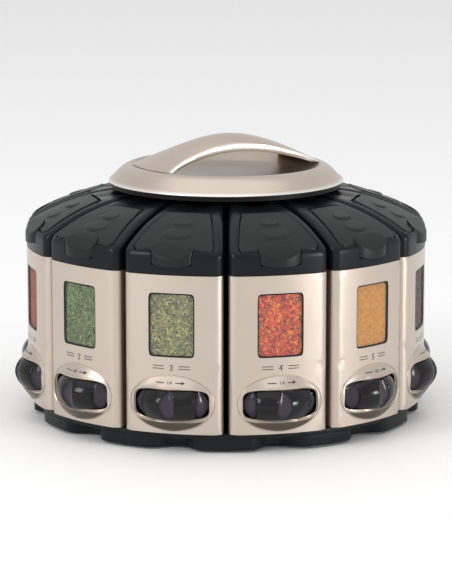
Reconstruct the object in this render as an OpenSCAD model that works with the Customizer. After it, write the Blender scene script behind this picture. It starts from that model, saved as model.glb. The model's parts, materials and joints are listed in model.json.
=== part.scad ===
// Rotating spice rack: twelve wedge dispensers with measuring dials on a turntable,
// under a domed top with a carrying handle. Millimetres, +Z up, origin on the ground
// at the centre of the turntable. Each dispenser is drawn pointing along +X, with u
// for the distance from the turntable's axis, and is then turned to its place.

/* [Carousel] */
// Radius of the dispensers' front faces
front_r = 115; // [105:1:140]
// Gap between the side walls of two neighbouring dispensers
side_gap = 2.6; // [1.5:0.1:5]
// Radius of each dispenser's inner end
inner_r = 34; // [32:1:44]
// Height of the black top caps' crown above the dispensers' underside
crown_rise = 119.3; // [110:1:145]
// Radius of the caps' arched roof
roof_arc_r = 116.8; // [110:1:140]
// Distance from the turntable's axis to the centre of the roof's arch
roof_arc_u = 50; // [45:1:60]

/* [Front shell] */
// Height of the front shell
shell_h = 87.6; // [84:1:110]
// Wall of the front shell
shell_t = 1.6; // [1.2:0.1:2.2]
// Radius of the shell's upright corners
corner_r = 4.7; // [3:0.1:7]
// Depth of the shell's side returns
return_depth = 15; // [10:1:25]
// Width of the window
window_w = 26; // [16:1:30]
// Height of the window
window_h = 35.3; // [20:1:40]
// Height of the window's lower edge above the dispenser's underside
window_rise = 42.5; // [40:1:48]

/* [Measuring dial] */
// Radius of the dial
dial_r = 22.5; // [20:0.5:22.5]
// Height of the dial
dial_h = 16.6; // [14:0.2:18]
// How far the dial stands out of the front face
dial_reach = 9.5; // [7:0.5:10]
// Gap around the dial in its housing
dial_gap = 0.7; // [0.4:0.1:1]
// How much the dial narrows from its middle to its rims
dial_crown = 4; // [2:0.2:4.5]
// Radius of one measuring pocket
pocket_r = 4.8; // [4:0.1:4.9]
// Distance from the dial's axis to the pockets
pocket_ring_r = 12.3; // [12:0.1:12.6]
// Radius of the dial's axle
axle_r = 3; // [2.5:0.1:3.5]
// Running clearance of the axle and of the lid's pins
pin_gap = 0.06; // [0.03:0.01:0.1]
// Half width of the bezel where it leaves the front face
bezel_half_w = 24; // [22:0.5:24.5]
// Half height of the bezel where it leaves the front face
bezel_half_h = 15.8; // [13:0.1:16.5]
// How far the bezel's hood stands out at the edge of the dial's opening
bezel_rise = 5.5; // [3:0.1:7]

/* [Lid] */
// Distance from the turntable's axis to the lid's hinge pins
hinge_u = 78.6; // [74:0.1:82]
// Radius of the lid's hinge pins
hinge_pin_r = 1.2; // [1:0.1:1.4]
// Thickness of the lid
lid_t = 2.2; // [1.8:0.1:3]
// How far the lid stands above the cap's roof
lid_rise = 0.6; // [0.2:0.1:1.2]
// Half width of the finger tab
tab_half_w = 12; // [9:0.5:13]

/* [Base] */
// Clearance between the ground and the skirt
skirt_rise = 1.5; // [1.2:0.1:3]
// Height of the skirt under the top plate
skirt_h = 6.2; // [6:0.2:10]
// Thickness of the tray's top plate
plate_t = 3; // [2.4:0.2:4]
// Radius that the skirt's lobes reach
lobe_r = 112; // [106:1:118]
// Radius of the skirt between the lobes
hollow_r = 103.5; // [100:0.5:106]
// Radius of the turntable's ball track
track_r = 60; // [50:1:70]
// Radius of one bearing ball
ball_r = 2; // [1.6:0.1:2.2]

/* [Dome and handle] */
// Radius of the dome's rim
dome_r = 67.8; // [62:0.5:72]
// Radius of the seam where the handle meets the dome
seam_r = 55.2; // [50:0.5:58]
// Height of the dome's rim above the caps' crown
dome_rise = 4.1; // [3.5:0.1:8]
// Height from the dome's rim to the seam
dome_h = 10.1; // [8:0.2:16]
// Height from the seam to the top of the handle
handle_h = 17.4; // [14:0.2:26]
// Direction of the handle's span, from +X
handle_angle = 30; // [0:1:180]
// Half width of the handle at its middle
grip_half_w = 14; // [11:0.5:18]
// Half width of the handle at its ends
foot_half_w = 23; // [18:0.5:27]
// Radius of the finger bowl's floor
bowl_r = 46; // [38:0.5:48]
// Depth of the finger bowl under the seam
bowl_h = 8; // [6:0.1:8]

/* [Hidden] */
count = 12;
pitch = 360 / count;
half = pitch / 2;
first_angle = 195;
fit = 0.15;   // gap between separate pieces of one dispenser
run = 0.4;    // gap between pieces that move past each other
eps = 0.02;
$fn = 96;

// Heights, from the ground up
plate_z = skirt_rise + skirt_h;
tray_top = plate_z + plate_t;
under_z = tray_top + 0.3;
shell_top = under_z + shell_h;
cap_z = shell_top + fit;
crown_z = under_z + crown_rise;
rim_z = crown_z + dome_rise;
seam_z = rim_z + dome_h;
top_z = seam_z + handle_h;
roof_zc = crown_z - roof_arc_r;

// Dial housing
dial_u = front_r + dial_reach - dial_r;
dial_z = under_z + 8.4;
house_r = dial_r + dial_gap;
house_z = dial_z - run;
house_top = dial_z + dial_h + run;
dial_mid = dial_z + dial_h / 2 + 0.3;
floor_z = house_top + 3.6;
clicks = 7;
flute_r = 4;
flute_depth = 2.2;
click_turn = 360 / clicks;
port_in = 180;
port_out = port_in - 2 * click_turn;
outlet_z = house_z - 2.4;

// Container
wall = 1.5;
box_r = front_r - shell_t - fit;
box_g = side_gap / 2 + shell_t + fit;
hop_r = box_r - wall;
hop_g = box_g + wall;
slope_z = floor_z + 20;
slope_u = dial_u - house_r + 4;
part_u = dial_u - house_r - 1.8;

// Tongue and groove that guide a dispenser in and out
rail_w = 6;
rail_h = 3;
rail_u0 = inner_r + 5;
rail_u1 = part_u - 6;

// Lid and its hinge
hinge_z = roof_z(hinge_u) + lid_rise - 1.95;
barrel_r = 1.9;
barrel_half = 12.4;
ear_half = 15.6;
lid_u0 = hinge_u;
lid_u1 = front_r - 3.2;
swing_gap = 0.6;
lid_in_half = 14;
lid_out_half = 22;
tab_drop = 4.2;
tab_u = front_r + 2.3;
tab_reach = 4.2;
tab_lip = 7;
pour_u0 = hinge_u + 6;
pour_u1 = lid_u1 - 5.5;

// Centre column and bearing
post_r = 10;
column_r = 28;
column_t = 3;
foot_r = 84;
balls = 24;
boss_u = 14;
boss_top = seam_z - bowl_h - 2;
foot_top = plate_z - 2 * ball_r - 0.1;
foot_t = 2;

// Name of the numbered copy of a piece
function numbered(kind, i) = str(kind, "_", i < 10 ? "0" : "", i);

// Points on an arc about a centre, leaving the first one out when asked
function arc(c, r, a0, a1, n, from = 0) =
    [for (k = [from:n]) let (a = a0 + (a1 - a0) * k / n) c + r * [cos(a), sin(a)]];

// An outline's upper half followed by its mirror image
function mirrored(upper) =
    concat(upper, [for (k = [len(upper) - 1:-1:0]) if (abs(upper[k][1]) > eps) [upper[k][0], -upper[k][1]]]);

// Plan of a wedge: front radius r, inner face at u0, set g back from the gap's middle
function wedge(r, u0, g, rc) =
    let (turn = half - asin((g + rc) / (r - rc)), c = (r - rc) * [cos(turn), sin(turn)])
    mirrored(concat(
        [[u0, (u0 * sin(half) - g) / cos(half)]],
        arc(c, rc, half + 90, turn, 4),
        arc([0, 0], r, turn, 0, 5, 1)));

// Height of the roof at a distance from the axis
function roof_z(u) = roof_zc + sqrt(pow(roof_arc_r, 2) - pow(max(u - roof_arc_u, 0), 2));

// Radius of the dial at a share of its height from the middle
function drum_r(t) = dial_r - dial_crown * t * t;

// Plan of the lid
function lid_outline(grow) =
    let (r = 3, a = [lid_u0 - grow, lid_in_half - 1.4 + grow], b = [lid_u1 + grow, lid_out_half + grow])
    mirrored(concat(
        [a, a + [2, 0], a + [5.4, 1.6]],
        arc([b[0] - r, b[1] - r], r, 100, 10, 4),
        [[b[0] + 0.6, b[1] * 0.55]]));

// Plan of the finger tab, an oval
function tab_outline(grow) =
    mirrored([for (k = [0:16]) let (a = 180 - 180 * k / 16)
        [tab_u - tab_reach + (tab_reach + grow) * cos(a), (tab_half_w + grow) * sin(a)]]);

// Radius of the scalloped skirt in a direction from the middle of a lobe
function skirt_r(a) =
    let (away = abs(a - pitch * round(a / pitch)), t = min(max((away - 7) / (half - 8.5), 0), 1))
    lobe_r - (lobe_r - hollow_r) * t * t * (3 - 2 * t);

// Height of the handle's ridge at a share of its span from the middle
function ridge(s) = handle_h * (1 - pow((s * s + 0.008) / 1.008, 0.9));

// Half width of the handle at a share of its span
function grip_w(s) = grip_half_w + (foot_half_w - grip_half_w) * pow(abs(s), 2.2);

module place(i) {
    rotate([0, 0, first_angle + pitch * (i - 1)]) children();
}

module up(z) {
    translate([0, 0, z]) children();
}

module at_dial(z = 0) {
    translate([dial_u, 0, z]) children();
}

// A solid of the wedge plan between two heights
module wedge_block(r, u0, g, rc, z0, z1) {
    up(z0) linear_extrude(z1 - z0) polygon(wedge(r, u0, g, rc));
}

// A plate through the front: an outline in width and height, pushed outwards from u0
module punch(u0, u1) {
    translate([u0, 0, 0]) rotate([90, 0, 90]) linear_extrude(u1 - u0) children();
}

module window_plan(grow = 0) {
    x = window_w / 2 - 2;
    y = window_h / 2 - 2;
    translate([0, under_z + window_rise + window_h / 2]) polygon(concat(
        arc([x, y], 2 + grow, 0, 90, 3), arc([-x, y], 2 + grow, 90, 180, 3),
        arc([-x, -y], 2 + grow, 180, 270, 3), arc([x, -y], 2 + grow, 270, 360, 3)));
}

module dial_opening() {
    r = 6;
    x = bezel_half_w - 2.5 - r;
    y = (house_top - house_z) / 2 - r;
    translate([0, (house_top + house_z) / 2]) polygon(concat(
        arc([x, y], r, 0, 90, 5), arc([-x, y], r, 90, 180, 5),
        arc([-x, -y], r, 180, 270, 5), arc([x, -y], r, 270, 360, 5)));
}

// The arched roof, lowered or raised, as a solid of revolution
module roof(shift = 0) {
    round_r = 3;
    edge = front_r - round_r;
    rotate_extrude($fn = 180) polygon(concat(
        [[0, under_z], [front_r + 8, under_z], [front_r + 8, roof_z(edge) + shift - 14]],
        [[front_r, roof_z(edge) + shift - 3.2], [front_r - 0.8, roof_z(edge) + shift - 1.5]],
        [for (k = [0:8]) let (u = edge + (roof_arc_u - edge) * k / 8) [u, roof_z(u) + shift]],
        [[0, crown_z + shift]]));
}

// --- frame -----------------------------------------------------------------

module foot_plate() {
    color([0.16, 0.17, 0.17]) difference() {
        union() {
            up(foot_top - foot_t) cylinder(r = foot_r, h = foot_t);
            up(foot_top - foot_t) cylinder(r = post_r, h = tray_top + 2.5 - foot_top + foot_t);
        }
        up(-1) cylinder(r = 2.5, h = tray_top + 6);
        up(foot_top) rotate_extrude() translate([track_r, ball_r - 0.3]) circle(r = ball_r + 0.1, $fn = 32);
    }
}

module foot_pads() {
    color([0.08, 0.08, 0.08]) for (k = [0:5]) rotate([0, 0, 60 * k])
        translate([foot_r - 10, 0, 0]) cylinder(r = 7, h = foot_top - foot_t, $fn = 48);
}

module bearing_balls() {
    color("silver") for (k = [0:balls - 1]) rotate([0, 0, 360 / balls * k])
        translate([track_r, 0, foot_top + ball_r + 0.05]) sphere(r = ball_r, $fn = 24);
}

module ball_cage() {
    color([0.85, 0.85, 0.82]) difference() {
        up(foot_top + 1.2) cylinder(r = track_r + 5, h = 1.6);
        up(foot_top) cylinder(r = track_r - 5, h = 4);
        for (k = [0:balls - 1]) rotate([0, 0, 360 / balls * k])
            translate([track_r, 0, foot_top]) cylinder(r = ball_r + 0.15, h = 4, $fn = 24);
    }
}

module pivot_screw() {
    color("silver") {
        up(tray_top + 2.6) cylinder(r = post_r + 5, h = 1.4);
        up(tray_top + 4.1) cylinder(r = 5, h = 2.6);
        up(tray_top - 6) cylinder(r = 2.3, h = 10.2);
    }
}

module tray() {
    color([0.16, 0.18, 0.18]) difference() {
        union() {
            up(plate_z) cylinder(r = lobe_r - 0.6, h = plate_t, $fn = 180);
            up(skirt_rise) linear_extrude(skirt_h + plate_t - 0.8)
                polygon([for (k = [0:143]) let (a = 360 / 144 * k) skirt_r(a) * [cos(a), sin(a)]]);
            for (i = [1:count]) place(i)
                translate([rail_u0, -rail_w / 2, tray_top - eps]) cube([rail_u1 - rail_u0, rail_w, rail_h]);
        }
        up(skirt_rise - 1) cylinder(r = hollow_r - 4, h = skirt_h + 1, $fn = 180);
        up(plate_z - 1) cylinder(r = post_r + pin_gap, h = plate_t + 2);
        for (k = [0:3]) rotate([0, 0, 90 * k])
            translate([column_r - 6, 0, plate_z - 1]) cylinder(r = 1.7, h = plate_t + 2, $fn = 32);
    }
}

module column() {
    color([0.14, 0.15, 0.15]) difference() {
        up(tray_top) cylinder(r = column_r, h = rim_z - 4 - tray_top);
        up(tray_top + 8) cylinder(r = column_r - column_t, h = crown_z);
        up(tray_top - 1) cylinder(r = post_r + 6, h = 12);
        for (k = [0:3]) rotate([0, 0, 90 * k])
            translate([column_r - 6, 0, tray_top - 1]) cylinder(r = 1.7, h = 12, $fn = 32);
    }
}

module crown() {
    color([0.14, 0.15, 0.15]) difference() {
        union() {
            up(rim_z - 4) cylinder(r = seam_r + 2, h = 2.2);
            up(rim_z - 10) cylinder(r = column_r - column_t - fit, h = 6.1);
            for (k = [0:3]) rotate([0, 0, 90 * k + 45])
                translate([boss_u, 0, rim_z - 2]) cylinder(r = 4, h = boss_top - rim_z + 2, $fn = 32);
        }
        for (k = [0:3]) rotate([0, 0, 90 * k + 45])
            translate([boss_u, 0, rim_z - 11]) cylinder(r = 1.7, h = 20, $fn = 32);
    }
}

module dome_trim() {
    color([0.25, 0.25, 0.24]) up(rim_z - 2.6) difference() {
        cylinder(r = dome_r - 1.6, h = 2.6 - fit, $fn = 180);
        up(-1) cylinder(r = dome_r - 6, h = 5, $fn = 180);
    }
}

// The dome: a convex ring up to the seam, then a shallow bowl for the fingers
function dome_profile(drop) =
    concat(
        [[dome_r - drop * 0.6, rim_z]],
        [for (k = [0:5]) let (t = k / 5) [dome_r - drop * 0.6 - (dome_r - seam_r - 1.5) * t,
            rim_z + 2 + (dome_h - 2) * pow(sin(90 * pow(t, 0.85)), 1.0) - drop - 0.9 * t * (1 - t)]],
        [[seam_r - drop * 0.4, seam_z - 0.3 - drop], [seam_r - 2.5, seam_z - 0.9 - drop]],
        [for (t = [1, 0.8, 0.6, 0.4, 0.2, 0]) [bowl_r * t, seam_z - bowl_h + 2.9 * t * t - drop]]);

module dome() {
    color([0.78, 0.73, 0.67]) rotate_extrude($fn = 180) polygon(concat(
        dome_profile(0),
        [for (k = [len(dome_profile(1.8)) - 1:-1:1]) dome_profile(1.8)[k]],
        [[dome_r - 1.8, rim_z]]));
}

// The handle: rows of points across a band, swept along its span
module handle() {
    rows = 28;
    cols = 8;
    band = 2.3;
    span = seam_r - 2.2;
    top = [for (i = [0:rows]) for (j = [0:cols])
        let (s = 2 * i / rows - 1, w = 2 * j / cols - 1,
             z = ridge(s), edge = max(z - 4.6 * (1 - pow(s, 2)), 0.2))
        [span * s * (1 - 0.085 * w * w * s * s), grip_w(s) * w, seam_z + edge + (z - edge) * (1 - w * w)]];
    low = [for (p = top) let (s = p[0] / span)
        [p[0], p[1], max(min(p[2] - band, seam_z + ridge(s) - 7.4 * (1 - s * s) - 1.6), seam_z - 0.5)]];
    n = (rows + 1) * (cols + 1);
    function at(i, j) = i * (cols + 1) + j;
    quads = concat(
        [for (i = [0:rows - 1]) for (j = [0:cols - 1])
            [at(i, j), at(i, j + 1), at(i + 1, j + 1), at(i + 1, j)]],
        [for (i = [0:rows - 1]) for (j = [0:cols - 1])
            [n + at(i, j), n + at(i + 1, j), n + at(i + 1, j + 1), n + at(i, j + 1)]],
        [for (i = [0:rows - 1]) [at(i + 1, 0), n + at(i + 1, 0), n + at(i, 0), at(i, 0)]],
        [for (i = [0:rows - 1]) [at(i, cols), n + at(i, cols), n + at(i + 1, cols), at(i + 1, cols)]],
        [for (j = [0:cols - 1]) [at(0, j), n + at(0, j), n + at(0, j + 1), at(0, j + 1)]],
        [for (j = [0:cols - 1]) [at(rows, j + 1), n + at(rows, j + 1), n + at(rows, j), at(rows, j)]]);
    tris = [for (q = quads) each [[q[0], q[1], q[2]], [q[0], q[2], q[3]]]];
    color([0.8, 0.75, 0.69]) rotate([0, 0, handle_angle]) polyhedron(concat(top, low), tris);
}

module frame_screws() {
    color("silver") {
        for (k = [0:3]) rotate([0, 0, 90 * k]) translate([column_r - 6, 0, 0]) {
            up(plate_z - 1.6) cylinder(r = 3, h = 1.5, $fn = 32);
            up(plate_z - 0.2) cylinder(r = 1.6, h = 9, $fn = 32);
        }
        for (k = [0:3]) rotate([0, 0, 90 * k + 45]) translate([boss_u, 0, 0]) {
            up(rim_z - 11.7) cylinder(r = 3, h = 1.6, $fn = 32);
            up(rim_z - 10.2) cylinder(r = 1.6, h = boss_top - rim_z + 10.1, $fn = 32);
        }
    }
}

// --- one dispenser -----------------------------------------------------------

// The hopper's box: walls, sloping floor, dial housing and window opening
module container() {
    difference() {
        wedge_block(box_r, inner_r, box_g, corner_r - shell_t, under_z, shell_top);
        intersection() {
            wedge_block(hop_r, inner_r + wall, hop_g, corner_r - shell_t - wall, under_z - 1, shell_top + 1);
            union() {
                side_cut([[inner_r, slope_z], [slope_u, floor_z], [front_r, floor_z],
                    [front_r, shell_top + 2], [inner_r, shell_top + 2]]);
                side_cut([[inner_r, under_z - 2], [part_u, under_z - 2], [part_u, floor_z - 3],
                    [inner_r, slope_z - 2.6]]);
            }
        }
        at_dial(under_z - 1) cylinder(r = house_r, h = house_top - under_z + 1);
        at_dial() rotate([0, 0, port_in]) translate([pocket_ring_r, 0, house_top - 1])
            cylinder(r = pocket_r, h = 6, $fn = 48);
        at_dial(house_top - 1) cylinder(r = axle_r + fit, h = 3.2, $fn = 48);
        punch(hop_r - 8, front_r + 2) dial_opening();
        punch(hop_r - 8, front_r + 2) window_plan(1);
        translate([inner_r - 1, -rail_w / 2 - run, under_z - 1]) cube([wall + 3, rail_w + 2 * run, rail_h + 1.2]);
        translate([part_u - 1, -2.5, dial_z + 2]) cube([4, 5, 10]);
    }
}

// A prism across the wedge with an outline in distance and height
module side_cut(points) {
    translate([0, front_r, 0]) rotate([90, 0, 0]) linear_extrude(2 * front_r) polygon(points);
}

module window_pane() {
    intersection() {
        punch(hop_r - 8, front_r + 2) window_plan(0.8);
        difference() {
            up(under_z) cylinder(r = box_r, h = shell_h, $fn = 180);
            up(under_z - 1) cylinder(r = box_r - 1.2, h = shell_h + 2, $fn = 180);
        }
    }
}

// Closes the dial housing from below, and carries the axle and the outlet
module outlet_plate() {
    difference() {
        intersection() {
            at_dial(outlet_z) cylinder(r = house_r - fit, h = house_z - outlet_z);
            wedge_block(box_r - fit, inner_r, box_g, corner_r - shell_t, outlet_z - 1, house_z + 1);
        }
        at_dial() rotate([0, 0, port_out]) translate([pocket_ring_r, 0, outlet_z - 1])
            cylinder(r = pocket_r, h = 6, $fn = 48);
    }
    at_dial(house_z - eps) cylinder(r = axle_r, h = house_top - house_z + 1.6, $fn = 48);
}

// Leaf spring whose nose drops into the dial's flutes, one click a portion
module click_leaf() {
    nose_u = dial_u - dial_r - 0.35 - 1.2;
    translate([part_u - 1, -8, dial_z + 3]) cube([0.8, 16, 8]);
    translate([nose_u, 0, dial_z + 3]) cylinder(r = 1.2, h = 8, $fn = 32);
    translate([part_u - 0.6, -0.6, dial_z + 3]) cube([nose_u - part_u + 0.6, 1.2, 8]);
}

// The black top: an arched roof with the lid's seat, a pouring mouth and hinge ears
module cap() {
    g = side_gap / 2;
    difference() {
        intersection() {
            wedge_block(front_r, inner_r, g, corner_r, cap_z, top_z);
            roof();
        }
        intersection() {
            wedge_block(front_r - 2, inner_r + 2, g + 2, corner_r - 2, cap_z - 1, top_z);
            roof(-4.6);
        }
        difference() {
            up(cap_z) linear_extrude(60) {
                polygon(lid_outline(run));
                translate([swing_gap, 0]) polygon(lid_outline(run));
            }
            roof(lid_rise - lid_t - run);
        }
        translate([hinge_u - 2.8, -barrel_half - 0.4, hinge_z - 2.8])
            cube([5.6, 2 * barrel_half + 0.8, 20]);
        intersection() {
            up(shell_top + tab_drop - run) linear_extrude(60) polygon(tab_outline(run));
            translate([tab_u - tab_lip - run, -front_r, 0]) cube([30, 2 * front_r, top_z]);
        }
        up(cap_z) linear_extrude(60) polygon(mirrored([[pour_u0, 10.5], [pour_u1, 17.5]]));
        for (side = [-1, 1]) translate([hinge_u, side * (barrel_half - 1), hinge_z])
            rotate([-90 * side, 0, 0]) cylinder(r = hinge_pin_r + pin_gap, h = 4, $fn = 48);
    }
}

module canister() {
    color([0.12, 0.13, 0.13]) container();
    color([0.17, 0.19, 0.19]) cap();
    color([0.1, 0.1, 0.1]) outlet_plate();
    color([0.7, 0.7, 0.7]) click_leaf();
    color([0.75, 0.8, 0.8, 0.4]) window_pane();
}

// The bezel's body: an oval cone whose foot follows the curved front face
module bezel_cone() {
    sink = 3;
    steep = bezel_rise / (1 - (house_top - dial_mid) / bezel_half_h);
    cheek_u = sqrt(pow(front_r, 2) - pow(bezel_half_w, 2));
    side = bezel_half_w * steep / (front_r + steep - cheek_u);
    grow = (steep + sink) / steep;
    intersection() {
        translate([front_r - sink, 0, dial_mid]) rotate([90, 0, 90])
            linear_extrude(steep + sink, scale = 0)
            polygon([for (k = [0:39]) grow * [side * cos(9 * k), bezel_half_h * sin(9 * k)]]);
        translate([0, -front_r, dial_mid - bezel_half_h - 0.4])
            cube([2 * front_r, 2 * front_r, 2 * bezel_half_h + 0.8]);
    }
}

// Metal-look front: curved face, side returns, window and the bezel's hood and lip
module shell() {
    g = side_gap / 2;
    color([0.8, 0.75, 0.69]) difference() {
        union() {
            intersection() {
                wedge_block(front_r, inner_r, g, corner_r, under_z, shell_top);
                translate([front_r - return_depth, -front_r, 0]) cube([front_r, 2 * front_r, top_z]);
            }
            bezel_cone();
        }
        wedge_block(front_r - shell_t, 0, g + shell_t, corner_r - shell_t, under_z - 1, shell_top + 1);
        at_dial(house_z) cylinder(r = house_r, h = house_top - house_z);
        punch(hop_r - 8, front_r + 20) dial_opening();
        punch(hop_r - 8, front_r + 20) window_plan();
    }
}

// The hinged lid: a curved plate with two raised ovals, a finger tab and its pins
module lid() {
    top = lid_rise;
    module oval(u, ru, rv, rise) {
        intersection() {
            up(cap_z) linear_extrude(60)
                polygon([for (k = [0:23]) [u + ru * cos(15 * k), rv * sin(15 * k)]]);
            difference() {
                roof(top + rise);
                roof(top - 1);
            }
        }
    }
    color([0.2, 0.22, 0.22]) union() {
            intersection() {
                up(cap_z) linear_extrude(60) polygon(lid_outline(0));
                difference() {
                    roof(top);
                    roof(top - lid_t);
                }
            }
            oval(hinge_u + 11.6, 4.4, 5.8, 0.7);
            oval(hinge_u + 22.4, 4.6, 8, 0.7);
            intersection() {
                up(shell_top + tab_drop) linear_extrude(40) polygon(tab_outline(0));
                difference() {
                    roof(top + 0.5);
                    translate([0, -front_r, 0]) cube([tab_u - tab_lip, 2 * front_r, top_z]);
                }
            }
            intersection() {
                up(shell_top + tab_drop) linear_extrude(40) polygon(tab_outline(0));
                difference() {
                    roof(top + 0.5);
                    roof(top - 1);
                }
            }
            translate([hinge_u, -barrel_half, hinge_z]) rotate([-90, 0, 0])
                cylinder(r = barrel_r, h = 2 * barrel_half, $fn = 48);
            translate([hinge_u, -ear_half + 0.8, hinge_z]) rotate([-90, 0, 0])
                cylinder(r = hinge_pin_r, h = 2 * ear_half - 1.6, $fn = 48);
    }
}

// The thumb dial: a crowned, fluted drum with one measuring pocket for each click
module dial() {
    mid = dial_h / 2;
    rings = 8;
    color([0.13, 0.12, 0.15]) at_dial(dial_z) difference() {
        rotate_extrude() polygon(concat([[0, 0]],
            [for (k = [-rings:rings]) [drum_r(k / rings), mid * (1 + k / rings)]],
            [[0, dial_h]]));
        up(-1) cylinder(r = axle_r + pin_gap, h = dial_h + 2, $fn = 48);
        for (k = [0:clicks - 1]) rotate([0, 0, port_in + click_turn * k]) {
            translate([pocket_ring_r, 0, -1]) cylinder(r = pocket_r, h = dial_h + 2, $fn = 48);
            rotate([0, 0, click_turn / 2]) translate([dial_r + flute_r - flute_depth, 0, -1])
                cylinder(r = flute_r, h = dial_h + 2, $fn = 48);
        }
    }
}

foot_plate();
foot_pads();
bearing_balls();
ball_cage();
pivot_screw();
tray();
column();
crown();
dome_trim();
dome();
handle();
frame_screws();
for (i = [1:count]) {
    place(i) canister();
    place(i) shell();
    place(i) lid();
    place(i) dial();
}
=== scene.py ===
"""Looks of the rotating spice rack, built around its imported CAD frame. Lengths in millimetres until mesh()."""

import json
import math

import bmesh
import bpy
import numpy as np
from mathutils import Matrix, Vector


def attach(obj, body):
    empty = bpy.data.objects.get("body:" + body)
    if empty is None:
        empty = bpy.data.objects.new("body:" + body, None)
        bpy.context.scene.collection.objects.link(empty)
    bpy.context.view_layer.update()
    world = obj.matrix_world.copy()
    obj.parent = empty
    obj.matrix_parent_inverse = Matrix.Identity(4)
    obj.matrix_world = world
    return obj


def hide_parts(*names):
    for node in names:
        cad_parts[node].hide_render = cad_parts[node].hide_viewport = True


bl_info = {
    "name": "Spice rack looks",
    "version": (1, 0, 0),
    "blender": (4, 5, 0),
    "location": "View3D > Sidebar > Spice rack",
    "description": "Builds the visible pieces of a rotating spice rack around its CAD frame",
    "category": "Object",
}

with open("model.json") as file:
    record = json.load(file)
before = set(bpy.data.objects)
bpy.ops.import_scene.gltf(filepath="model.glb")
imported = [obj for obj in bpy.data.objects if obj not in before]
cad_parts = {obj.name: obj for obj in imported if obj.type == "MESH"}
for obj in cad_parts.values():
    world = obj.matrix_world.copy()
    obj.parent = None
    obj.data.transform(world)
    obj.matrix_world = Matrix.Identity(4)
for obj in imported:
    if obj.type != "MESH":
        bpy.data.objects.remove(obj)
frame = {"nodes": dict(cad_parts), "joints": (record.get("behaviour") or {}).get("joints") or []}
COUNT = sum(1 for n in frame["nodes"] if n.startswith("shell_"))
JOINT = {j["name"]: j for j in frame["joints"]}
MM = 0.001


def name(kind, i):
    """Name of the numbered copy of a piece."""
    return f"{kind}_{i:02d}"


def heading(i):
    """Direction that dispenser i points in, from the axis of its slide joint."""
    x, y, _ = JOINT[name("dispenser_slide", i)]["axis"]
    return math.atan2(y, x)


def span(node):
    """Distance from the axis and height range of a node: (nearest, farthest, lowest, highest)."""
    co = np.empty(len(frame["nodes"][node].data.vertices) * 3)
    frame["nodes"][node].data.vertices.foreach_get("co", co)
    co = co.reshape(-1, 3) / MM
    r = np.hypot(co[:, 0], co[:, 1])
    return r.min(), r.max(), co[:, 2].min(), co[:, 2].max()


def radius_of(joint):
    """Distance of a joint's position from the turntable's axis."""
    x, y, _ = JOINT[joint]["pos_m"]
    return math.hypot(x, y) / MM


SHELL = span("shell_01")
CAN = span("canister_01")
DIAL = span("dial_01")
TRAY = span("tray")
DOME = span("dome")
HANDLE = span("handle")
DIAL_U = radius_of("dial_turn_01")
HINGE_U = radius_of("lid_hinge_01")
HINGE_Z = JOINT["lid_hinge_01"]["pos_m"][2] / MM
HALF = math.pi / COUNT
ROOF_R = 116.8
ROOF_U = 50.0
ROOF_Z = CAN[3] - ROOF_R
ABOVE = 140  # a height above every cap
TAB_U, TAB_RU, TAB_RV = 112.3, 5.0, 12.0
MOUTH_Z, MOUTH_W, MOUTH_H, MOUTH_POWER = 27.7, 21.5, 8.7, 4.5
BEZEL_FLAT_W = 19.75  # half width at which the hood's cone would be level with the face


# --- settings ------------------------------------------------------------------


def length(default, words):
    """A length in millimetres that shows in the sidebar."""
    return bpy.props.FloatProperty(name=words, description=words + ", in millimetres", default=default, min=0.0)


class FrontSettings(bpy.types.PropertyGroup):
    radius: length(CAN[1], "Radius of the front face")
    gap: length(1.3, "Half the gap between dispensers")
    corner: length(4.7, "Radius of the upright corners")
    wall: length(1.6, "Wall of the shell")
    depth: length(15.0, "Depth of the side returns")
    window_w: length(26.0, "Width of the window")
    window_h: length(35.3, "Height of the window")
    window_z: length(71.15, "Height of the window's middle")
    bezel_w: length(24.0, "Half width of the bezel")
    bezel_h: length(15.8, "Half height of the bezel")
    bezel_z: length(28.0, "Height of the bezel's middle")
    bezel_rise: length(5.5, "How far the hood stands out")


class DialSettings(bpy.types.PropertyGroup):
    radius: length(22.5, "Radius of the dial")
    crown: length(4.0, "How much the dial narrows to its rims")
    flute_w: length(8.8, "Width of a flute")
    flute_h: length(15.4, "Height of a flute")
    flute_depth: length(2.0, "Depth of a flute")
    clicks: bpy.props.IntProperty(name="Clicks", description="Clicks in a full turn", default=7, min=3)


class CapSettings(bpy.types.PropertyGroup):
    edge: length(3.0, "Rounding of the cap's upper edge")
    seat: length(2.0, "Depth of the lid's seat")
    lid_rise: length(0.6, "How far the lid stands above the roof")
    lid_t: length(2.2, "Thickness of the lid")
    pad_rise: length(0.9, "How far the raised ovals stand up")


class SpiceSettings(bpy.types.PropertyGroup):
    fill: length(93.0, "Height that the spice is filled to")
    grains: bpy.props.IntProperty(name="Grains", description="Loose grains behind a window", default=1500, min=0)
    seed: bpy.props.IntProperty(name="Seed", description="Seed of the scatter", default=7)


class TopSettings(bpy.types.PropertyGroup):
    rim: length(DOME[1], "Radius of the dome's rim")
    seam: length(55.2, "Radius of the seam around the bowl")
    turn: bpy.props.FloatProperty(
        name="Handle's direction", description="Direction of the handle's span",
        default=math.radians(30), subtype="ANGLE",
    )


class BaseSettings(bpy.types.PropertyGroup):
    plate: length(3.0, "Thickness of the top plate")
    scallop: length(8.5, "Depth of the skirt's hollows")


class StageSettings(bpy.types.PropertyGroup):
    floor: bpy.props.FloatProperty(name="Floor", description="Half size of the floor", default=6.0, unit="LENGTH")
    key: bpy.props.FloatProperty(name="Key light", description="Power of the key light", default=17.0)
    lens: bpy.props.FloatProperty(name="Lens", description="Focal length, in millimetres", default=168.2)


# --- geometry ------------------------------------------------------------------


def roof(r):
    """Height of the caps' arched roof at distance r from the axis: a circle's arc, flat inside its middle."""
    return ROOF_Z + np.sqrt(np.maximum(ROOF_R**2 - np.maximum(np.asarray(r) - ROOF_U, 0) ** 2, 1))


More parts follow.
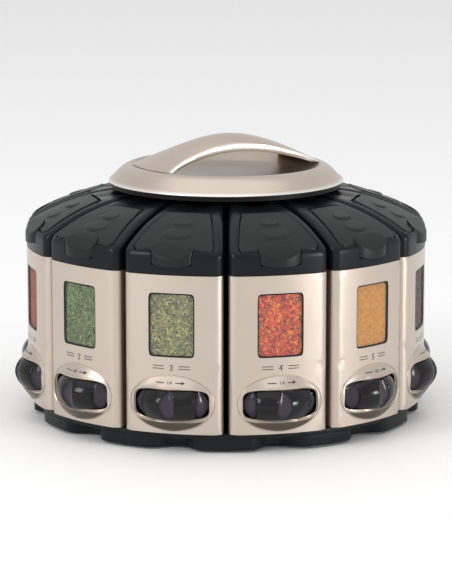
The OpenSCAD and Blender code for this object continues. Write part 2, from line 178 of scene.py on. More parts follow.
def wedge(r, inner, g, rc, n=7):
    """Plan of a wedge with a front arc of radius r, rounded corners rc and an inner end at inner.

    Its flat sides lie g inside the sector's edges.
    """
    turn = HALF - math.asin((g + rc) / (r - rc))
    c = (r - rc) * np.array([math.cos(turn), math.sin(turn)])
    k = np.linspace(HALF + math.pi / 2, turn, n)[:, None]
    a = np.linspace(turn, 0, 12)[1:, None]
    upper = np.vstack([
        [[inner, (inner * math.sin(HALF) - g) / math.cos(HALF)]],
        c + rc * np.hstack([np.cos(k), np.sin(k)]),
        r * np.hstack([np.cos(a), np.sin(a)]),
    ])
    return np.vstack([upper, (upper * [1, -1])[-2::-1]])


def lid_plan(grow, u1=111.8):
    """Plan of the lid: a trapezoid that widens outwards, with rounded front corners, grown on every side."""
    r = 3.0
    a = np.array([HINGE_U - grow, 12.6 + grow])
    c = np.array([u1 + grow - r, 22 + grow - r])
    k = np.radians(np.linspace(100, 8, 6))[:, None]
    corner = c + r * np.hstack([np.cos(k), np.sin(k)])
    upper = np.vstack([[a, a + [2.0, 0.0], a + [5.4, 1.6]], corner, [[u1 + grow + 0.5, 0]]])
    return np.vstack([upper, (upper * [1, -1])[-2::-1]])


def cast(plan, centre, angles):
    """Where rays from the centre at these angles cross a convex outline: the nearest crossing of any edge's line."""
    p = np.asarray(plan, float) - centre
    q = np.roll(p, -1, 0)
    d = np.stack([np.cos(angles), np.sin(angles)], 1)
    e = q - p
    cross = d[:, None, 0] * e[None, :, 1] - d[:, None, 1] * e[None, :, 0]
    cross = np.where(np.abs(cross) < 1e-12, 1e-12, cross)
    t = (p[None, :, 0] * e[None, :, 1] - p[None, :, 1] * e[None, :, 0]) / cross
    s = (p[None, :, 0] * d[:, None, 1] - p[None, :, 1] * d[:, None, 0]) / cross
    ok = (t > 1e-9) & (s > -1e-6) & (s < 1 + 1e-6)
    t = np.where(ok, t, np.inf).min(1)
    return centre + d * t[:, None]


def bearings(centre, *plans):
    """Angles about the centre of every corner of the outlines, with even ones between, in order."""
    corners = [np.arctan2(*(np.asarray(p) - centre).T[::-1]) for p in plans]
    a = np.sort(np.concatenate(corners + [np.linspace(-math.pi, math.pi, 49)[:-1]]))
    return a[np.concatenate([[True], np.diff(a) > 1e-3])]


class Skin:
    """Collects grids of points into one mesh; points that meet are merged."""

    def __init__(self):
        self.verts, self.faces, self.count = [], [], 0

    def grid(self, p, around=False, flip=False):
        """Adds quads between rows of points; around joins each row's end to its start."""
        p = np.asarray(p, float)
        rows, cols = p.shape[:2]
        k = np.arange(rows * cols).reshape(rows, cols) + self.count
        if around:
            k = np.hstack([k, k[:, :1]])
        q = np.stack([k[:-1, :-1], k[:-1, 1:], k[1:, 1:], k[1:, :-1]], -1).reshape(-1, 4)
        self.verts.append(p.reshape(-1, 3))
        self.faces.append(q[:, ::-1] if flip else q)
        self.count += rows * cols
        return self

    def mesh(self, label, outward=True, angle=38.0):
        """The mesh in metres, merged, and smooth where it bends less than the angle.

        outward closes small holes and turns the faces of closed parts outwards.
        """
        me = bpy.data.meshes.new(label)
        me.from_pydata((np.vstack(self.verts) * MM).tolist(), [], np.vstack(self.faces).tolist())
        bm = bmesh.new()
        bm.from_mesh(me)
        bmesh.ops.remove_doubles(bm, verts=bm.verts, dist=2e-6)
        bmesh.ops.dissolve_degenerate(bm, dist=1e-7, edges=bm.edges)
        if outward:
            bmesh.ops.holes_fill(bm, edges=[e for e in bm.edges if e.is_boundary], sides=0)
            bmesh.ops.recalc_face_normals(bm, faces=bm.faces)
            if bm.calc_volume(signed=True) < 0:
                bmesh.ops.reverse_faces(bm, faces=bm.faces)
        bm.to_mesh(me)
        bm.free()
        return smooth(me, angle)


def smooth(me, angle=38.0):
    """Shades a mesh smooth, sharp where it bends more than the angle."""
    me.shade_smooth()
    me.set_sharp_from_angle(angle=math.radians(angle))
    return me


def lathe(profile, n=192):
    """Points of a profile of (distance, height) turned about Z."""
    a = np.linspace(0, 2 * math.pi, n, endpoint=False)
    r, z = np.asarray(profile, float).T
    return np.stack([r[:, None] * np.cos(a), r[:, None] * np.sin(a), z[:, None] + 0 * a], -1)


def show(mesh, label, body, material, nodes=(), turn=0.0):
    """Adds a finished mesh to the scene, turned in the mesh, riding a body, standing for CAD nodes."""
    if turn:
        mesh = mesh.copy()
        mesh.transform(Matrix.Rotation(turn, 4, "Z"))
    mesh.name = label
    mesh.materials.clear()
    for m in material if isinstance(material, (list, tuple)) else [material]:
        mesh.materials.append(m)
    o = bpy.data.objects.new(label, mesh)
    bpy.context.scene.collection.objects.link(o)
    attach(o, body)
    if nodes:
        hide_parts(*nodes)
    return o


def settled(mesh, *modifiers):
    """The mesh with modifiers applied: each is (type, settings)."""
    o = bpy.data.objects.new("settling", mesh)
    bpy.context.scene.collection.objects.link(o)
    for kind, values in modifiers:
        m = o.modifiers.new(kind.title(), kind)
        for key, value in values.items():
            setattr(m, key, value)
    bpy.context.view_layer.update()
    made = bpy.data.meshes.new_from_object(o.evaluated_get(bpy.context.evaluated_depsgraph_get()))
    bpy.data.objects.remove(o)
    return made


def carved(mesh, tool):
    """The mesh with a closed tool mesh cut out of it."""
    t = bpy.data.objects.new("tool", tool)
    bpy.context.scene.collection.objects.link(t)
    made = settled(mesh, ("BOOLEAN", {"object": t, "operation": "DIFFERENCE", "solver": "EXACT"}))
    bpy.data.objects.remove(t)
    return made


def prism(plan, z0, z1, label="prism"):
    """A closed prism over an outline."""
    p = np.asarray(plan, float)
    c = p.mean(0)
    rows = [np.broadcast_to(c, p.shape), p, p, np.broadcast_to(c, p.shape)]
    z = [z0, z0, z1, z1]
    pts = np.stack([np.hstack([r, np.full((len(p), 1), h)]) for r, h in zip(rows, z)])
    return Skin().grid(pts, around=True).mesh(label)


def parts_of(node):
    """Merged copies of a CAD node's separate solids, largest first, left unturned in the row frame."""
    bm = bmesh.new()
    bm.from_mesh(frame["nodes"][node].data)
    bmesh.ops.remove_doubles(bm, verts=bm.verts, dist=1e-6)
    bm.faces.ensure_lookup_table()
    seen, groups = set(), []
    for f in bm.faces:
        if f in seen:
            continue
        group, stack = [], [f]
        seen.add(f)
        while stack:
            g = stack.pop()
            group.append(g)
            for e in g.edges:
                for h in e.link_faces:
                    if h not in seen:
                        seen.add(h)
                        stack.append(h)
        groups.append(group)
    made = []
    for group in groups:
        keep = set(group)
        part = bmesh.new()
        index = {}
        for f in keep:
            for v in f.verts:
                if v not in index:
                    index[v] = part.verts.new(v.co)
        for f in keep:
            part.faces.new([index[v] for v in f.verts])
        bmesh.ops.recalc_face_normals(part, faces=part.faces)
        me = bpy.data.meshes.new(node)
        part.to_mesh(me)
        size = part.calc_volume()
        part.free()
        made.append((size, smooth(me, 32)))
    bm.free()
    return [m for _, m in sorted(made, key=lambda x: -x[0])]


# --- materials ------------------------------------------------------------------


class Val:
    """A shader socket with arithmetic: the operators make Math nodes."""

    def __init__(self, tree, out):
        self.tree, self.out = tree, out

    def put(self, kind, inputs=(), **settings):
        """Any other node: sets its properties, links or fills its inputs, returns its first output."""
        n = self.tree.nodes.new(kind)
        for key, value in settings.items():
            setattr(n, key, value)
        for key, value in dict(inputs).items():
            if isinstance(value, Val):
                self.tree.links.new(value.out, n.inputs[key])
            else:
                n.inputs[key].default_value = value
        return Val(self.tree, n.outputs[0])

    def calc(self, op, *others, clamp=False):
        return self.put("ShaderNodeMath", enumerate((self,) + others), operation=op, use_clamp=clamp)

    def __add__(self, o):
        return self.calc("ADD", o)

    def __sub__(self, o):
        return self.calc("SUBTRACT", o)

    def __mul__(self, o):
        return self.calc("MULTIPLY", o)

    def __truediv__(self, o):
        return self.calc("DIVIDE", o)

    def __pow__(self, o):
        return self.calc("POWER", o)

    def __rsub__(self, o):
        return (self * -1.0) + o

    def __rtruediv__(self, o):
        return (self**-1.0) * o

    __radd__ = __add__
    __rmul__ = __mul__

    def clamp(self):
        return self.calc("ADD", 0.0, clamp=True)

    def noise(self, scale, detail=3.0, rough=0.5):
        """Noise of this vector's space, 0 to 1."""
        return self.put("ShaderNodeTexNoise", {"Vector": self, "Scale": scale, "Detail": detail, "Roughness": rough})

    def cells(self, scale):
        """Random value of each Voronoi cell of this vector's space, 0 to 1."""
        n = self.put("ShaderNodeTexVoronoi", {"Vector": self, "Scale": scale})
        colour = Val(self.tree, n.out.node.outputs["Color"])
        return colour.put("ShaderNodeSeparateColor", {"Color": colour})

    def ramp(self, a, b):
        """Colour between a and b by this value."""
        n = self.tree.nodes.new("ShaderNodeMix")
        n.data_type = "RGBA"
        self.tree.links.new(self.out, n.inputs["Factor"])
        for key, c in (("A", a), ("B", b)):
            socket = [s for s in n.inputs if s.name == key and s.type == "RGBA"][0]
            if isinstance(c, Val):
                self.tree.links.new(c.out, socket)
            else:
                socket.default_value = (*c, 1)
        return Val(self.tree, [s for s in n.outputs if s.type == "RGBA"][0])

    def bump(self, strength, distance):
        """Normal bumped by this height."""
        return self.put("ShaderNodeBump", {"Height": self, "Strength": strength, "Distance": distance})


def srgb(*c):
    """Linear colour of 0-255 sRGB numbers."""
    c = np.array(c, float) / 255
    return tuple(np.where(c <= 0.04045, c / 12.92, ((c + 0.055) / 1.055) ** 2.4).tolist())


def material(label, constants, varying=None, attribute=None):
    """A Principled material: constants on its own sockets, and varying(space) giving {socket: value}."""
    m = bpy.data.materials.new(label)
    m.use_nodes = True
    tree = m.node_tree
    shader = next(n for n in tree.nodes if n.type == "BSDF_PRINCIPLED")
    for key, value in constants.items():
        shader.inputs[key].default_value = (*value, 1) if isinstance(value, tuple) else value
    if varying:
        at = tree.nodes.new("ShaderNodeTexCoord")
        args = [Val(tree, at.outputs["Object"])]
        if attribute:
            a = tree.nodes.new("ShaderNodeAttribute")
            a.attribute_name = attribute
            args.append(Val(tree, a.outputs["Fac"]))
        for key, value in varying(*args).items():
            tree.links.new(value.out, shader.inputs[key])
    return m


def satin_metal(label, base, rough, metallic):
    """Satin plated metal with faint cloudy roughness and a very fine grain.

    The mesh's shade attribute paints shade into it, towards a dark olive, where it is above 0, and paints a highlight,
    towards near white, where it is below.
    """
    dark = tuple(c * 0.93 for c in base)
    return material(label, {"Metallic": metallic, "Specular IOR Level": 0.6}, lambda p, shade: {
        # painted shade where shade is above 0 and painted highlight where it is below, both in the base colour
        "Base Color": (shade * -1.0).clamp().ramp(
            (shade * 0.86).clamp().ramp(p.noise(35, 4).ramp(dark, base), srgb(58, 52, 36)), srgb(252, 250, 246)
        ),
        "Roughness": p.noise(60, 3) * 0.1 + (rough - 0.05),
        "Normal": p.noise(5200, 2).bump(0.05, 0.00003),
    }, "shade")


def moulded(label, base, rough, grain=0.25, coat=0.0, shine=0.3, painted_sheen=None):
    """Moulded plastic, fine-grained and slightly uneven in tone and gloss.

    It takes a lighter colour where the mesh's shade attribute is 1, a painted sheen standing in for light caught in
    hollows such as the dial's flutes.
    """
    light = tuple(min(c * 1.25 + 0.002, 1) for c in base)
    constants = {"Coat Weight": coat, "Coat Roughness": 0.12, "Specular IOR Level": shine}
    return material(label, constants, lambda p, shade: {
        # painted sheen: the shade attribute blends the base colour towards the lighter sheen colour
        "Base Color": shade.ramp(p.noise(45, 3).ramp(base, light), painted_sheen or base),
        "Roughness": p.noise(90, 3) * 0.12 + (rough - 0.06),
        "Normal": p.noise(2600, 2, 0.6).bump(grain, 0.00006),
    }, "shade")


def steel(label, base, rough):
    """Bright turned steel, with a slight cloud in its gloss."""
    return material(label, {"Metallic": 1.0, "Base Color": base}, lambda p: {
        "Roughness": p.noise(400, 2) * 0.1 + rough,
    })


def spice_stuff(label, low, mid, high, fine, rough=0.9):
    """Ground or flaked spice: three colours mixed by grain cells, by noise and by each grain's own tone."""
    return material(label, {"Specular IOR Level": 0.25, "Roughness": rough}, lambda p, tone: {
        "Base Color": (tone * 1.5 + p.cells(fine) * 0.3 - 0.35).clamp().ramp(
            p.cells(fine * 0.6).ramp(low, mid), p.cells(fine * 0.7).ramp(mid, high)
        ),
        "Normal": p.noise(fine * 1.3, 3).bump(0.7, 0.0004),
    }, "tone")


LOOKS = {}


def make_materials():
    """All finishes, by name."""
    LOOKS.update(
        nickel=satin_metal("satin_nickel", srgb(200, 187, 175), 0.3, 0.9),
        canister=moulded("canister_black", srgb(12, 15, 18), 0.3, 0.2, 0.0, 0.18),
        lid=moulded("lid_black", srgb(20, 24, 23), 0.4, 0.3, 0.0, 0.22),
        base=moulded("base_black", srgb(13, 16, 18), 0.4, 0.2, 0.0, 0.2),
        frame=moulded("frame_black", srgb(30, 32, 33), 0.5),
        trim=moulded("trim_grey", srgb(12, 12, 13), 0.45, 0.25, 0.0, 0.15),
        foot=moulded("foot_black", srgb(40, 42, 42), 0.55),
        rubber=moulded("pad_rubber", srgb(22, 22, 22), 0.8, 0.5),
        cage=moulded("cage_nylon", srgb(216, 215, 206), 0.5),
        # the dial's last colour is a painted sheen for the light caught in its flutes
        dial=moulded("dial_gloss", srgb(9, 8, 11), 0.2, 0.04, 0.25, 0.18, srgb(52, 48, 57)),
        ball=steel("ball_steel", (0.72, 0.72, 0.72), 0.12),
        screw=steel("screw_steel", (0.56, 0.56, 0.56), 0.3),
        print=moulded("print_grey", srgb(62, 58, 56), 0.5, 0.0),
        pane=material("window_pane", {"Alpha": 0.07, "Base Color": (0.5, 0.52, 0.52), "Roughness": 0.05,
                                      "Specular IOR Level": 0.8}),
    )
    kinds = {
        "paprika": ((104, 34, 16), (150, 58, 30), (178, 84, 48), 1600),
        "parsley": ((34, 52, 20), (92, 118, 56), (158, 178, 108), 900),
        "thyme": ((38, 44, 26), (118, 124, 82), (212, 206, 132), 900),
        "pepper": ((56, 8, 6), (204, 40, 12), (246, 142, 40), 700),
        "cinnamon": ((150, 88, 16), (196, 130, 34), (222, 164, 66), 1600),
        "mustard": ((46, 26, 24), (84, 50, 44), (120, 84, 66), 1400),
    }
    for key, (low, mid, high, fine) in kinds.items():
        LOOKS[key] = spice_stuff("spice_" + key, srgb(*low), srgb(*mid), srgb(*high), fine)


# --- pieces ---------------------------------------------------------------------


def wrap(a, z, s, out=0.0):
    """Points of the dispenser's outer face at developed distance a from its middle line and height z.

    The distance runs along the front arc, then round the corner's arc, then straight back along the side.
    """
    turn = HALF - math.asin((s.gap + s.corner) / (s.radius - s.corner))
    arc, bend = s.radius * turn, s.corner * (HALF + math.pi / 2 - turn)
    d = np.abs(a)
    f = np.minimum(d, arc) / s.radius
    k = turn + np.clip(d - arc, 0, bend) / s.corner
    back = np.maximum(d - arc - bend, 0)
    end = HALF + math.pi / 2
    on = d <= arc
    core = s.radius - s.corner
    u = np.where(on, (s.radius + out) * np.cos(f), core * math.cos(turn) + (s.corner + out) * np.cos(k))
    v = np.where(on, (s.radius + out) * np.sin(f), core * math.sin(turn) + (s.corner + out) * np.sin(k))
    u, v = u - back * math.sin(end), v + back * math.cos(end)
    return np.stack([u + 0 * z, np.sign(a) * v + 0 * z, z + 0 * a], -1)


def oval(t, w, h, power):
    """Superellipse point at parameter t."""
    c, q = np.cos(t), np.sin(t)
    return w * np.sign(c) * np.abs(c) ** (2 / power), h * np.sign(q) * np.abs(q) ** (2 / power)


def box_loop(w, lo, hi, mid, n=24):
    """Angles and points of a rectangle's outline about (0, mid), corners included."""
    corner = np.unwrap([math.atan2(y - mid, x) for x, y in ((w, lo), (w, hi), (-w, hi), (-w, lo), (w, lo))])
    t = np.concatenate([np.linspace(a, b, n, endpoint=False) for a, b in zip(corner[:-1], corner[1:])])
    c, q = np.cos(t), np.sin(t)
    height = np.where(q > 0, hi - mid, mid - lo)
    reach = np.minimum(w / np.maximum(np.abs(c), 1e-9), height / np.maximum(np.abs(q), 1e-9))
    return t, reach * c, mid + reach * q


def cone_u(y, z, s):
    """Distance from the axis of the hood's cone: it falls evenly from the middle to the bezel's outline."""
    e = np.sqrt((y / BEZEL_FLAT_W) ** 2 + ((z - s.bezel_z) / s.bezel_h) ** 2)
    return s.radius + s.bezel_rise / (1 - MOUTH_H / s.bezel_h) * (1 - e)


def front_mesh(s):
    """The metal-look front: curved face with window and hooded bezel, corners and side returns, given thickness."""
    lo, hi, split = SHELL[2], SHELL[3], 48.7
    edge = 28.0
    skin = Skin()
    # window region
    t, x, z = box_loop(edge, split, hi, s.window_z)
    wx, wz = oval(t, s.window_w / 2, s.window_h / 2, 14)
    wz = wz + s.window_z
    rows = [wrap(x + (wx - x) * k, z + (wz - z) * k, s) for k in np.linspace(0, 1, 9)]
    skin.grid(rows, around=True)
    side_hi = np.unique(np.round(z[np.abs(x) > edge - 1e-6], 6))
    # bezel region: face, bead, cone, lip, wall
    t, x, z = box_loop(edge, lo, split, s.bezel_z, 28)
    bx, bz = oval(t, s.bezel_w, s.bezel_h, 2.0)
    ox, oz = oval(t, MOUTH_W, MOUTH_H, MOUTH_POWER)
    oz = oz + MOUTH_Z
    bz = bz + s.bezel_z
    foot = wrap(bx, bz, s)
    foot[:, 1] = bx
    foot[:, 0] = np.sqrt(s.radius**2 - bx**2)
    rows = [wrap(x + (bx - x) * k, z + (bz - z) * k, s) for k in np.linspace(0, 1, 8)[:-1]]
    mouth = np.stack([cone_u(ox, oz, s), ox, oz], -1)
    mouth[:, 0] = np.maximum(mouth[:, 0], np.sqrt(s.radius**2 - ox**2) + 0.3)
    bead = [0.0, 0.28, 0.38, 0.3, 0.1]
    cone = [0.0, 0.02, 0.045, 0.07, 0.1, 0.25, 0.4, 0.55, 0.7, 0.82, 0.92]
    for i, k in enumerate(cone):
        p = foot + (mouth - foot) * k
        p[:, 0] += bead[i] if i < len(bead) else 0.25 * math.sin(math.pi * k)
        rows.append(p)
    for k in np.radians([0, 30, 60, 90]):
        p = mouth.copy()
        p[:, 1:] = mouth[:, 1:] + (0.7 - 0.7 * math.sin(k)) * (foot - mouth)[:, 1:] / 12
        p[:, 0] += -0.6 + 0.6 * math.cos(k) + 0.1
        rows.append(p)
    inner = mouth.copy()
    inner[:, 0] = np.minimum(np.sqrt(s.radius**2 - ox**2) - 1.2, mouth[:, 0] - 1.6)
    rows.append(inner)
    skin.grid(rows, around=True)
    side_lo = np.unique(np.round(z[np.abs(x) > edge - 1e-6], 6))
    a = np.concatenate([np.linspace(edge, 33, 9), np.linspace(33, 31.5 + s.depth, 4)[1:]])
    for side in (1, -1):
        for levels in (side_hi, side_lo):
            zz, aa = np.meshgrid(levels, a * side)
            skin.grid(wrap(aa, zz, s), flip=side < 0)
    me = skin.mesh("front", outward=False)
    face_out(me)
    made = settled(
        me,
        ("SOLIDIFY", {"thickness": s.wall * MM * 0.8, "offset": -1.0, "use_even_offset": False}),
        ("BEVEL", {"width": 0.00035, "segments": 2, "limit_method": "ANGLE", "angle_limit": math.radians(50)}),
        ("WEIGHTED_NORMAL", {"keep_sharp": True, "weight": 80}),
    )
    # painted shade: the shade attribute darkens the hood's lower crescent, between the bezel's outline and the mouth,
    # in place of the shade under the dial
    _, y, z = points(made).T
    inside = np.sqrt((y / s.bezel_w) ** 2 + ((z - s.bezel_z) / s.bezel_h) ** 2)
    lip_w, lip_h = MOUTH_W + 0.7, MOUTH_H + 1.0
    beyond = (np.abs(y / lip_w) ** MOUTH_POWER + np.abs((z - MOUTH_Z) / lip_h) ** MOUTH_POWER) ** (1 / MOUTH_POWER)
    low = (s.bezel_z - z) / s.bezel_h
    shade = ease(low, 0.2, 0.5) * ease(beyond, 0.98, 1.03) * (1 - ease(inside, 0.95, 0.99))
    return painted(made, shade)


def points(me):
    """A mesh's points in millimetres."""
    co = np.empty(len(me.vertices) * 3)
    me.vertices.foreach_get("co", co)
    return co.reshape(-1, 3) / MM


def painted(me, shade):
    """The mesh with a shade for each of its points, which its material reads as painted shade, or as a painted
    highlight or sheen.
    """
    me.attributes.new("shade", "FLOAT", "POINT").data.foreach_set("value", shade.astype(np.float32))
    return me


def ease(x, a, b):
    """Smooth step from 0 at a to 1 at b."""
    t = np.clip((x - a) / (b - a), 0, 1)
    return t * t * (3 - 2 * t)


def pane_meshes(s):
    """The window's clear pane and its thin dark frame, both curved like the face: loops of the window's oval."""
    t = np.linspace(-math.pi, math.pi, 97)[:-1]

    def loop(inset, back):
        y, z = oval(t, s.window_w / 2 - inset, s.window_h / 2 - inset, 14)
        return np.stack([np.sqrt((s.radius - back) ** 2 - y**2), y, z + s.window_z], -1)

    def hub(back):
        return np.broadcast_to([s.radius - back, 0, s.window_z], (len(t), 3))

    section = ((0.03, 1.3), (0.03, 0.45), (0.15, 0.3), (0.6, 0.3), (0.75, 0.45), (0.75, 1.3), (0.03, 1.3))
    rim = np.stack([loop(inset, back) for inset, back in section])
    insets = (9, 5, 2, 0.8)
    front, rear = 0.5, 1.2
    disc = [hub(front)] + [loop(i, front) for i in insets] + [loop(i, rear) for i in insets[::-1]] + [hub(rear)]
    return Skin().grid(np.stack(disc), around=True).mesh("pane"), Skin().grid(rim, around=True).mesh("frame")


def face_out(me):
    """Turns an open sheet's faces so that they point away from the turntable's axis on the whole."""
    bm = bmesh.new()
    bm.from_mesh(me)
    bmesh.ops.recalc_face_normals(bm, faces=bm.faces)
    lean = sum(f.normal.x * f.calc_area() for f in bm.faces)
    if lean < 0:
        bmesh.ops.reverse_faces(bm, faces=bm.faces)
    bm.to_mesh(me)
    bm.free()


def dial_mesh(s):
    """The crowned drum: radius falls with the square of the height, less an oval hollow at each flute."""
    z0, z1 = DIAL[2], DIAL[3]
    mid, half = (z0 + z1) / 2, (z1 - z0) / 2
    a = np.linspace(0, 2 * math.pi, s.clicks * 32, endpoint=False)
    step = 2 * math.pi / s.clicks
    t = np.linspace(-0.97, 0.97, 33)[:, None]
    r = s.radius - s.crown * t**2 + 0 * a
    off = (a - math.pi) % step - step / 2
    e = np.sqrt((off * s.radius / (s.flute_w / 2)) ** 2 + (t * half / (s.flute_h / 2)) ** 2)
    r = r - s.flute_depth * np.clip(1 - e**2.6, 0, 1) ** 0.7
    z = mid + half * t + 0 * a
    rim = s.radius - s.crown - 0.25
    flat = [[rim - 0.5, 1.0], [rim - 2, 1.0], [3.1, 1.0]]
    top = [np.stack([k + 0 * a, mid + half * h + 0 * a], -1) for k, h in flat]
    low = [np.stack([k + 0 * a, mid - half * h + 0 * a], -1) for k, h in flat]
    body = [np.stack([r[i], z[i]], -1) for i in range(len(t))]
    rows = np.stack(low[::-1] + body + top)
    pts = np.stack([rows[..., 0] * np.cos(a), rows[..., 0] * np.sin(a), rows[..., 1]], -1)
    pts = np.concatenate([pts, pts[:1]])
    me = Skin().grid(pts, around=True).mesh("dial")
    for k in range(s.clicks):
        turn = math.pi + step * k
        ring = np.linspace(0, 2 * math.pi, 32, endpoint=False)
        plan = np.stack([12.3 * math.cos(turn) + 4.8 * np.cos(ring), 12.3 * math.sin(turn) + 4.8 * np.sin(ring)], -1)
        me = carved(me, prism(plan, z0 - 1, z1 + 1))
    # painted sheen: shade is 1 in the flutes' hollows, which the dial's material lightens in place of the light they
    # catch
    x, y, z = points(me).T
    sunk = s.radius - s.crown * ((z - mid) / half) ** 2 - np.hypot(x, y)
    painted(me, ease(sunk, 0.1, 1.6) * ease(np.hypot(x, y), 17.5, 18.5))
    me.transform(Matrix.Translation((DIAL_U * MM, 0, 0)))
    return smooth(me)


def cap_mesh(s, f):
    """The black top: loops about one centre, from the mouth and the outer wall over a rounded edge to the lid's seat."""
    centre = np.array([94.0, 0.0])
    z0 = SHELL[3] + 0.15
    inner = 34.0
    outer = wedge(f.radius, inner, f.gap, f.corner)
    seat = lid_plan(0.4)
    mouth = np.array([[84.6, 10.5], [106.3, 17.5], [106.3, -17.5], [84.6, -10.5]])
    angles = bearings(centre, outer, wedge(f.radius - s.edge * 0.4, inner, f.gap + s.edge, 2.9), seat, mouth)

    def loop(plan, z):
        p = cast(plan, centre, angles)
        r = np.hypot(*p.T)
        return np.hstack([p, np.broadcast_to(z(r) if callable(z) else z, r.shape)[:, None]])

    rows = [
        loop(mouth, lambda r: roof(r) - s.seat - 2.4),
        loop(wedge(f.radius - 2, inner + 2, f.gap + 2, 2.7), lambda r: roof(r) - s.seat - 2.4),
        loop(wedge(f.radius - 2, inner + 2, f.gap + 2, 2.7), z0),
        loop(wedge(f.radius - 0.25, inner, f.gap + 0.25, f.corner - 0.25), z0),
        loop(outer, z0 + 0.3),
    ]
    for k in np.radians([0, 12, 24, 38, 52, 66, 80, 90]):
        d = s.edge * (1 - math.cos(k))
        drop = s.edge * (1 - math.sin(k))
        plan = wedge(f.radius - d * 0.4, inner, f.gap + d, max(f.corner - d * 0.6, 1))
        rows.append(loop(plan, lambda r, drop=drop: roof(r) - drop - 0.05))
    rows += [
        loop(lid_plan(0.9), lambda r: roof(r)),
        loop(lid_plan(0.55), lambda r: roof(r) - 0.12),
        loop(lid_plan(0.4), lambda r: roof(r) - 0.4),
        loop(lid_plan(0.4), lambda r: roof(r) - s.seat),
        loop(mouth, lambda r: roof(r) - s.seat),
    ]
    rows.append(rows[0])
    me = Skin().grid(np.stack(rows), around=True).mesh("cap")
    low, high = tab_loop(0.45, lambda x: tab_foot(x) - 0.45), tab_loop(0.45, lambda x: ABOVE)
    rows = [np.broadcast_to(low.mean(0), low.shape), low, high, np.broadcast_to(high.mean(0), high.shape)]
    me = carved(me, Skin().grid(np.stack(rows), around=True).mesh("tab_room"))
    trough = np.array([[-1, -1], [1, -1], [1, 1], [-1, 1]]) * [2.8, 12.8] + [HINGE_U, 0]
    return smooth(carved(me, prism(trough, HINGE_Z - 2.8, ABOVE)))


def tab_loop(grow, z):
    """The finger tab's oval outline, grown on every side, at height z(u)."""
    a = np.linspace(0, 2 * math.pi, 72, endpoint=False)
    x, y = TAB_U + (TAB_RU + grow) * np.cos(a), (TAB_RV + grow) * np.sin(a)
    return np.stack([x, y, z(x) + 0 * x], -1)


def tab_foot(x):
    """Height of the tab's underside at distance x, rising inwards."""
    return 102.8 + 0.55 * (TAB_U + TAB_RU - x)


def tab_crest(x, s):
    """Height of the tab's top at distance x: above the lid, and falling away faster towards the front."""
    t = np.clip((x - TAB_U + TAB_RU) / (2 * TAB_RU), 0, 1)
    return roof(x) + s.lid_rise + 1.0 - 2.6 * t**2.5


def lid_mesh(s):
    """The lid: an arched plate with rounded edges, two tilted ovals, the finger tab, and the hinge barrel and pins."""
    plan = lid_plan(0)
    up = plan[: len(plan) // 2 + 1]
    u = np.unique(np.concatenate([HINGE_U + (112.3 - HINGE_U) * (0.5 - 0.5 * np.cos(np.linspace(0, math.pi, 74)))]))
    order = np.argsort(up[:, 0])
    wide = np.interp(u, up[order, 0], up[order, 1])
    t = np.sin(np.linspace(-1, 1, 81) * math.pi / 2)
    uu, tt = np.meshgrid(u, t, indexing="ij")
    vv = tt * wide[:, None]
    rim = np.minimum(np.minimum(uu - u[0], u[-1] - uu + 0.02), (1 - np.abs(tt)) * np.maximum(wide[:, None], 2))
    soft = np.clip(rim / 0.7, 0, 1)
    base = roof(np.hypot(uu, vv)) + s.lid_rise
    top = base - 0.7 * (1 - np.sqrt(1 - (1 - soft) ** 2))
    for uc, ru, rv in ((HINGE_U + 11.6, 4.4, 5.8), (HINGE_U + 22.4, 4.6, 8.0)):
        e = np.sqrt(((uu - uc) / ru) ** 2 + (vv / rv) ** 2)
        tilt = 0.15 + 0.85 * np.clip((uu - uc + ru) / (2 * ru), 0, 1)
        k = np.clip((1 - e) * ru / 0.45, 0, 1)
        top = top + s.pad_rise * tilt * k * k * (3 - 2 * k)
    low = base - s.lid_t
    skin = Skin()
    skin.grid(np.stack([uu, vv, top], -1))
    skin.grid(np.stack([uu, vv, low], -1), flip=True)
    for i in (0, -1):
        skin.grid([np.stack([uu[i], vv[i], top[i]], -1), np.stack([uu[i], vv[i], low[i]], -1)])
        skin.grid([np.stack([uu[:, i], vv[:, i], top[:, i]], -1), np.stack([uu[:, i], vv[:, i], low[:, i]], -1)])
    bevel = [(-0.6 * (1 - math.cos(k)), -0.6 * (1 - math.sin(k))) for k in np.radians([0, 22, 45, 68, 90])]
    rows = [tab_loop(-TAB_RU + 0.01, tab_foot), tab_loop(-0.5, tab_foot), tab_loop(0, lambda x: tab_foot(x) + 0.5)]
    rows += [tab_loop(grow, lambda x, drop=drop: tab_crest(x, s) + drop) for grow, drop in bevel]
    rows += [tab_loop(grow, lambda x: tab_crest(x, s)) for grow in (-1.6, -2.8, -4.0, -TAB_RU + 0.01)]
    skin.grid(np.stack(rows), around=True)
    for end in (rows[0], rows[-1]):
        skin.grid([end, np.broadcast_to(end.mean(0), end.shape)], around=True)
    a = np.linspace(0, 2 * math.pi, 56, endpoint=False)
    for r, half in ((1.9, 12.4), (1.2, 14.8)):
        ring = np.stack([HINGE_U + r * np.cos(a), 0 * a, HINGE_Z + r * np.sin(a)], -1)
        hub = np.broadcast_to([HINGE_U, 0, HINGE_Z], ring.shape)
        ends = [hub - [0, half, 0], ring - [0, half, 0], ring + [0, half, 0], hub + [0, half, 0]]
        skin.grid(np.stack(ends), around=True)
    return skin.mesh("lid")


